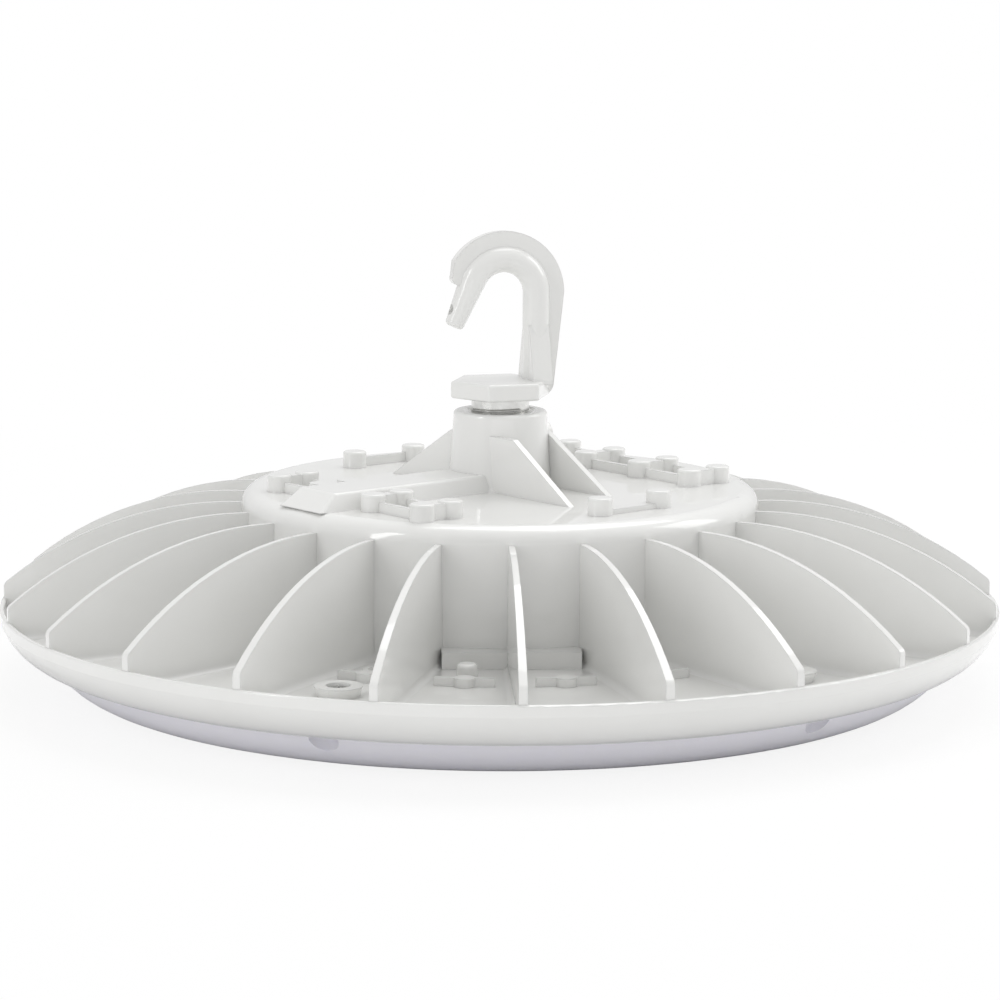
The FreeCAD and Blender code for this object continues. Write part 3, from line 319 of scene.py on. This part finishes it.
zinc = steel("zinc_plate", (0.86, 0.86, 0.84, 1), 0.2)
deselected()
bpy.ops.mesh.primitive_cylinder_add(vertices=stud_sides, radius=stud_core, depth=stud_top - stud_low,
                                    location=(0, 0, (stud_low + stud_top) / 2))
stud = bpy.context.object
bpy.ops.object.transform_apply(location=True)
pick(stud, lambda corners: len(corners) > 4)
bpy.ops.mesh.inset(thickness=stud_core - stud_bore, use_individual=True)
bpy.ops.mesh.bridge_edge_loops()
deselected()
bpy.ops.mesh.primitive_plane_add(
    size=1.0, location=(thread_crest - thread_depth / 2, 0, stud_low + thread_start))
thread = bpy.context.object
bpy.ops.transform.resize(value=(thread_depth, thread_pitch * thread_foot_share, 1.0))
bpy.ops.transform.rotate(value=math.pi / 2, orient_axis="X", center_override=thread.location)
bpy.ops.object.transform_apply(location=True, rotation=True, scale=True)
pick(thread, lambda corners: min(corner.x for corner in corners) > thread_crest - crest_margin, "edges")
bpy.ops.transform.resize(value=(1.0, 1.0, thread_crest_share))
taken_up(thread)
turns = thread.modifiers.new("turns", "SCREW")
turns.axis = "Z"
turns.screw_offset = thread_pitch
turns.iterations = thread_turns
turns.steps = thread_steps
turns.render_steps = thread_steps
bpy.ops.object.modifier_apply(modifier="turns")
bpy.ops.object.mode_set(mode="EDIT")
bpy.ops.mesh.select_all(action="SELECT")
bpy.ops.mesh.remove_doubles(threshold=weld_distance)
bpy.ops.mesh.fill_holes(sides=4)
bpy.ops.mesh.normals_make_consistent(inside=False)
bpy.ops.object.mode_set(mode="OBJECT")
joined_by(stud, thread, "UNION")
placed(stud, "threaded_stud", zinc, "hook_stud")

oxide = Finish("black_oxide", Metallic=0.8)
stain = oxide.noise(500.0, 3.0)
oxide.feeds("Base Color", oxide.blended(stain, (0.022, 0.022, 0.024, 1), (0.05, 0.05, 0.05, 1)))
oxide.feeds("Roughness", stain * 0.2 + 0.32)
put_on("hook_set_screw", oxide)

# --- Lens --------------------------------------------------------------------------------------
# A moulded milky polycarbonate dish, with a lug for each of its six screws. It is smooth, glossy
# and faintly blue, and hides what is behind it.

milk_white = (0.86, 0.85, 0.905, 1)
milk_shade = (0.83, 0.82, 0.88, 1)
plastic_relief = 0.00003

milk = Finish("milky_polycarbonate", IOR=1.58, Roughness=0.3, Subsurface_Weight=0.2,
              Subsurface_Radius=(0.01, 0.01, 0.012), Coat_Weight=0.4, Coat_Roughness=0.06)
haze = milk.noise(18.0)
milk.feeds("Base Color", milk.blended(haze, milk_white, milk_shade))
milk.bumped(milk.noise(700.0, 1.0), plastic_relief)
put_on("lens", milk)

# --- Lens screws -------------------------------------------------------------------------------
# Six stainless pan-head screws with a cross recess, sunk in the pocket floor's bosses. They draw
# the lens up against its seal.

stainless = steel("stainless", (0.6, 0.6, 0.59, 1), 0.2)
screw_low, screw_top = (corner.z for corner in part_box("lens_screws"))
screw_reach = 0.173
screw_sides = 36
screw_twists = (20, 65, 48, 8, 77, 33)
head_radius = 0.0037
head_height = 0.0025
head_round = 0.0012
head_round_steps = 5
shank_radius = 0.0019
slot_long = 0.0042
slot_wide = 0.00095
slot_deep = 0.0019
slot_proud = 0.0002
slot_foot_share = 0.55
level_margin = 1e-5

deselected()
bpy.ops.mesh.primitive_cylinder_add(vertices=screw_sides, radius=head_radius, depth=head_height,
                                    location=(0, 0, screw_top - head_height / 2))
pattern = bpy.context.object
bpy.ops.object.transform_apply(location=True)
pick(pattern, lambda corners: len(corners) > 4 and corners[0].z > screw_top - level_margin)
bpy.ops.mesh.bevel(offset=head_round, segments=head_round_steps, affect="EDGES")
pick(pattern, lambda corners: (len(corners) > 4
                               and max(c.z for c in corners) < screw_top - head_height / 2))
bpy.ops.mesh.inset(thickness=head_radius - shank_radius)
bpy.ops.mesh.extrude_region_move(
    TRANSFORM_OT_translate={"value": (0, 0, screw_low - screw_top + head_height)})
for turn in (0, 90):
    deselected()
    bpy.ops.mesh.primitive_cube_add(size=1.0, location=(0, 0, screw_top - slot_deep / 2 + slot_proud))
    slot = bpy.context.object
    bpy.ops.transform.resize(value=(slot_long, slot_wide, slot_deep + 2 * slot_proud))
    slot.rotation_euler.z = math.radians(turn)
    bpy.ops.object.transform_apply(location=True, rotation=True, scale=True)
    pick(slot, lambda corners: max(c.z for c in corners) < screw_top - slot_deep / 2)
    bpy.ops.transform.resize(value=(slot_foot_share, slot_foot_share, 1.0))
    joined_by(pattern, slot, "DIFFERENCE")
for place, twist in enumerate(screw_twists):
    copy = bpy.data.objects.new("lens_screw", pattern.data.copy())
    bpy.context.scene.collection.objects.link(copy)
    copy.matrix_world = (Matrix.Rotation(math.radians(360 / len(screw_twists) * place), 4, "Z")
                         @ Matrix.Translation((screw_reach, 0, 0))
                         @ Matrix.Rotation(math.radians(twist), 4, "Z"))
    placed(copy, f"lens_screw_{place + 1}", stainless, "lens_screws")
bpy.data.objects.remove(pattern)

# --- Light engine and driver -------------------------------------------------------------------
# Sealed in the hollow and behind the lens: the ring board with its light sources, then the tray,
# and the driver's board with its parts.

mottle_rough = 0.12
grain_to_mottle = 12


def mottled(name, first, second, scale, roughness, **constants):
    """A plain part's finish: blotches of two near colours, so many to the metre, and a fine grain."""
    finish = Finish(name, **constants)
    cloud = finish.noise(scale, 3.0)
    finish.feeds("Base Color", finish.blended(cloud, first, second))
    finish.feeds("Roughness", cloud * mottle_rough + roughness)
    finish.bumped(finish.noise(scale * grain_to_mottle, 1.0), plastic_relief)
    return finish


put_on("lens_seal", mottled("silicone", (0.74, 0.74, 0.73, 1), (0.68, 0.68, 0.66, 1), 40, 0.5))
put_on("led_board", mottled("solder_mask", (0.84, 0.84, 0.83, 1), (0.8, 0.8, 0.79, 1), 60, 0.3))
put_on("leds", mottled("phosphor", (0.86, 0.76, 0.24, 1), (0.8, 0.66, 0.16, 1), 900, 0.35))
put_on("led_socket", mottled("white_nylon", (0.82, 0.81, 0.78, 1), (0.77, 0.76, 0.72, 1), 90, 0.4))
put_on("driver_socket", mottled("cream_nylon", (0.8, 0.78, 0.72, 1), (0.75, 0.73, 0.66, 1), 90, 0.4))
put_on("driver_tray", mottled("white_sheet", (0.8, 0.8, 0.79, 1), (0.76, 0.76, 0.74, 1), 30, 0.35))
put_on("driver_board", mottled("glass_board", (0.04, 0.2, 0.08, 1), (0.06, 0.26, 0.11, 1), 70, 0.3))
put_on("insulating_film", mottled("film", (0.74, 0.7, 0.6, 1), (0.68, 0.64, 0.52, 1), 25, 0.25))
put_on("transformer", mottled("ferrite", (0.05, 0.05, 0.055, 1), (0.1, 0.1, 0.1, 1), 120, 0.5))
put_on("choke", mottled("winding", (0.5, 0.16, 0.04, 1), (0.36, 0.1, 0.02, 1), 300, 0.25))
put_on("capacitors", mottled("sleeve", (0.02, 0.03, 0.08, 1), (0.04, 0.05, 0.12, 1), 80, 0.3))
put_on("heat_bracket", mottled("mill_aluminium", (0.68, 0.68, 0.69, 1), (0.58, 0.58, 0.59, 1), 200,
                               0.3, Metallic=1.0))
put_on("terminal_block", mottled("green_nylon", (0.06, 0.26, 0.1, 1), (0.08, 0.32, 0.13, 1), 90, 0.4))
put_on("led_leads", mottled("red_insulation", (0.42, 0.02, 0.02, 1), (0.34, 0.015, 0.015, 1), 150, 0.35))
for name in ("led_board_screws", "driver_tray_screws", "driver_screws"):
    put_on(name, stainless)

# --- Floor and light ---------------------------------------------------------------------------
# A pale floor under an even white sky, seen almost white and a little darker under the light. Soft
# boxes: a large one above and behind, a narrow one to the left, a wider one to the right and a low
# strip in front.

floor_size = 160.0
floor_drop = 0.0003
paper_colour = (0.88, 0.88, 0.88, 1)
pure_white = (1, 1, 1, 1)
sky_strength = 0.74
shade_near = 0.25
shade_far = 0.8
shadow_and_painted_shade_depth = 0.13
aim_point = Vector((0, 0, 0.08))


def looked_at(tree):
    """1 for rays from the camera and rays let through something clear, 0 for the rest."""
    path = tree.nodes.new("ShaderNodeLightPath")
    seen = Value(tree, path.outputs["Is Camera Ray"])
    return seen.worked("MAXIMUM", Value(tree, path.outputs["Is Transmission Ray"]))


def soft_box(name, turn, reach, height, wide, tall, watts):
    """An area lamp at a turn in degrees round the axis from the camera's side, aimed at the light."""
    data = bpy.data.lights.new(name, "AREA")
    data.shape = "RECTANGLE"
    data.size = wide
    data.size_y = tall
    data.energy = watts
    lamp = bpy.data.objects.new(name, data)
    bpy.context.scene.collection.objects.link(lamp)
    angle = view_turn + math.radians(turn)
    lamp.location = (reach * math.sin(angle), -reach * math.cos(angle), height)
    aim = aim_point - lamp.location
    lamp.rotation_euler = aim.to_track_quat("-Z", "Y").to_euler()


deselected()
bpy.ops.mesh.primitive_plane_add(size=floor_size, location=(0, 0, -floor_drop))
floor = bpy.context.object
floor.name = "studio_floor"
paper = bpy.data.materials.new("studio_paper")
paper.use_nodes = True
tree = paper.node_tree
tree.nodes.clear()
output = tree.nodes.new("ShaderNodeOutputMaterial")
diffuse = node(tree, "ShaderNodeBsdfDiffuse", {}, {"Color": paper_colour})
glow = node(tree, "ShaderNodeEmission", {}, {"Color": pure_white, "Strength": 1.0})
spot = node(tree, "ShaderNodeTexCoord", {}, {}, "Object")
away = node(tree, "ShaderNodeVectorMath", {"operation": "LENGTH"}, {0: spot}, "Value")
# Near the light, up to 0.13 of the glow gives way to lit paper. The real shadow shows there, and the
# patch is also painted a little darker than the far floor, in shadow or not.
shadow_and_painted_shade = away.between(shade_near, shade_far) * shadow_and_painted_shade_depth + (1 - shadow_and_painted_shade_depth)
mixed = node(tree, "ShaderNodeMixShader", {}, {0: looked_at(tree) * shadow_and_painted_shade, 1: diffuse, 2: glow})
tree.links.new(mixed.socket, output.inputs[0])
floor.data.materials.append(paper)

world = bpy.data.worlds.new("studio")
bpy.context.scene.world = world
world.use_nodes = True
tree = world.node_tree
tree.nodes.clear()
output = tree.nodes.new("ShaderNodeOutputWorld")
sky = node(tree, "ShaderNodeBackground", {}, {"Color": pure_white, "Strength": sky_strength})
white = node(tree, "ShaderNodeBackground", {}, {"Color": pure_white, "Strength": 1.0})
mixed = node(tree, "ShaderNodeMixShader", {}, {0: looked_at(tree), 1: sky, 2: white})
tree.links.new(mixed.socket, output.inputs[0])

soft_box("box_top", turn=150, reach=0.7, height=1.9, wide=1.4, tall=1.4, watts=15.0)
soft_box("box_left", turn=-52, reach=1.8, height=0.8, wide=0.22, tall=1.3, watts=5.5)
soft_box("box_right", turn=100, reach=1.7, height=1.0, wide=0.8, tall=1.0, watts=6.5)
soft_box("box_low", turn=5, reach=1.6, height=0.12, wide=1.6, tall=0.2, watts=0.7)
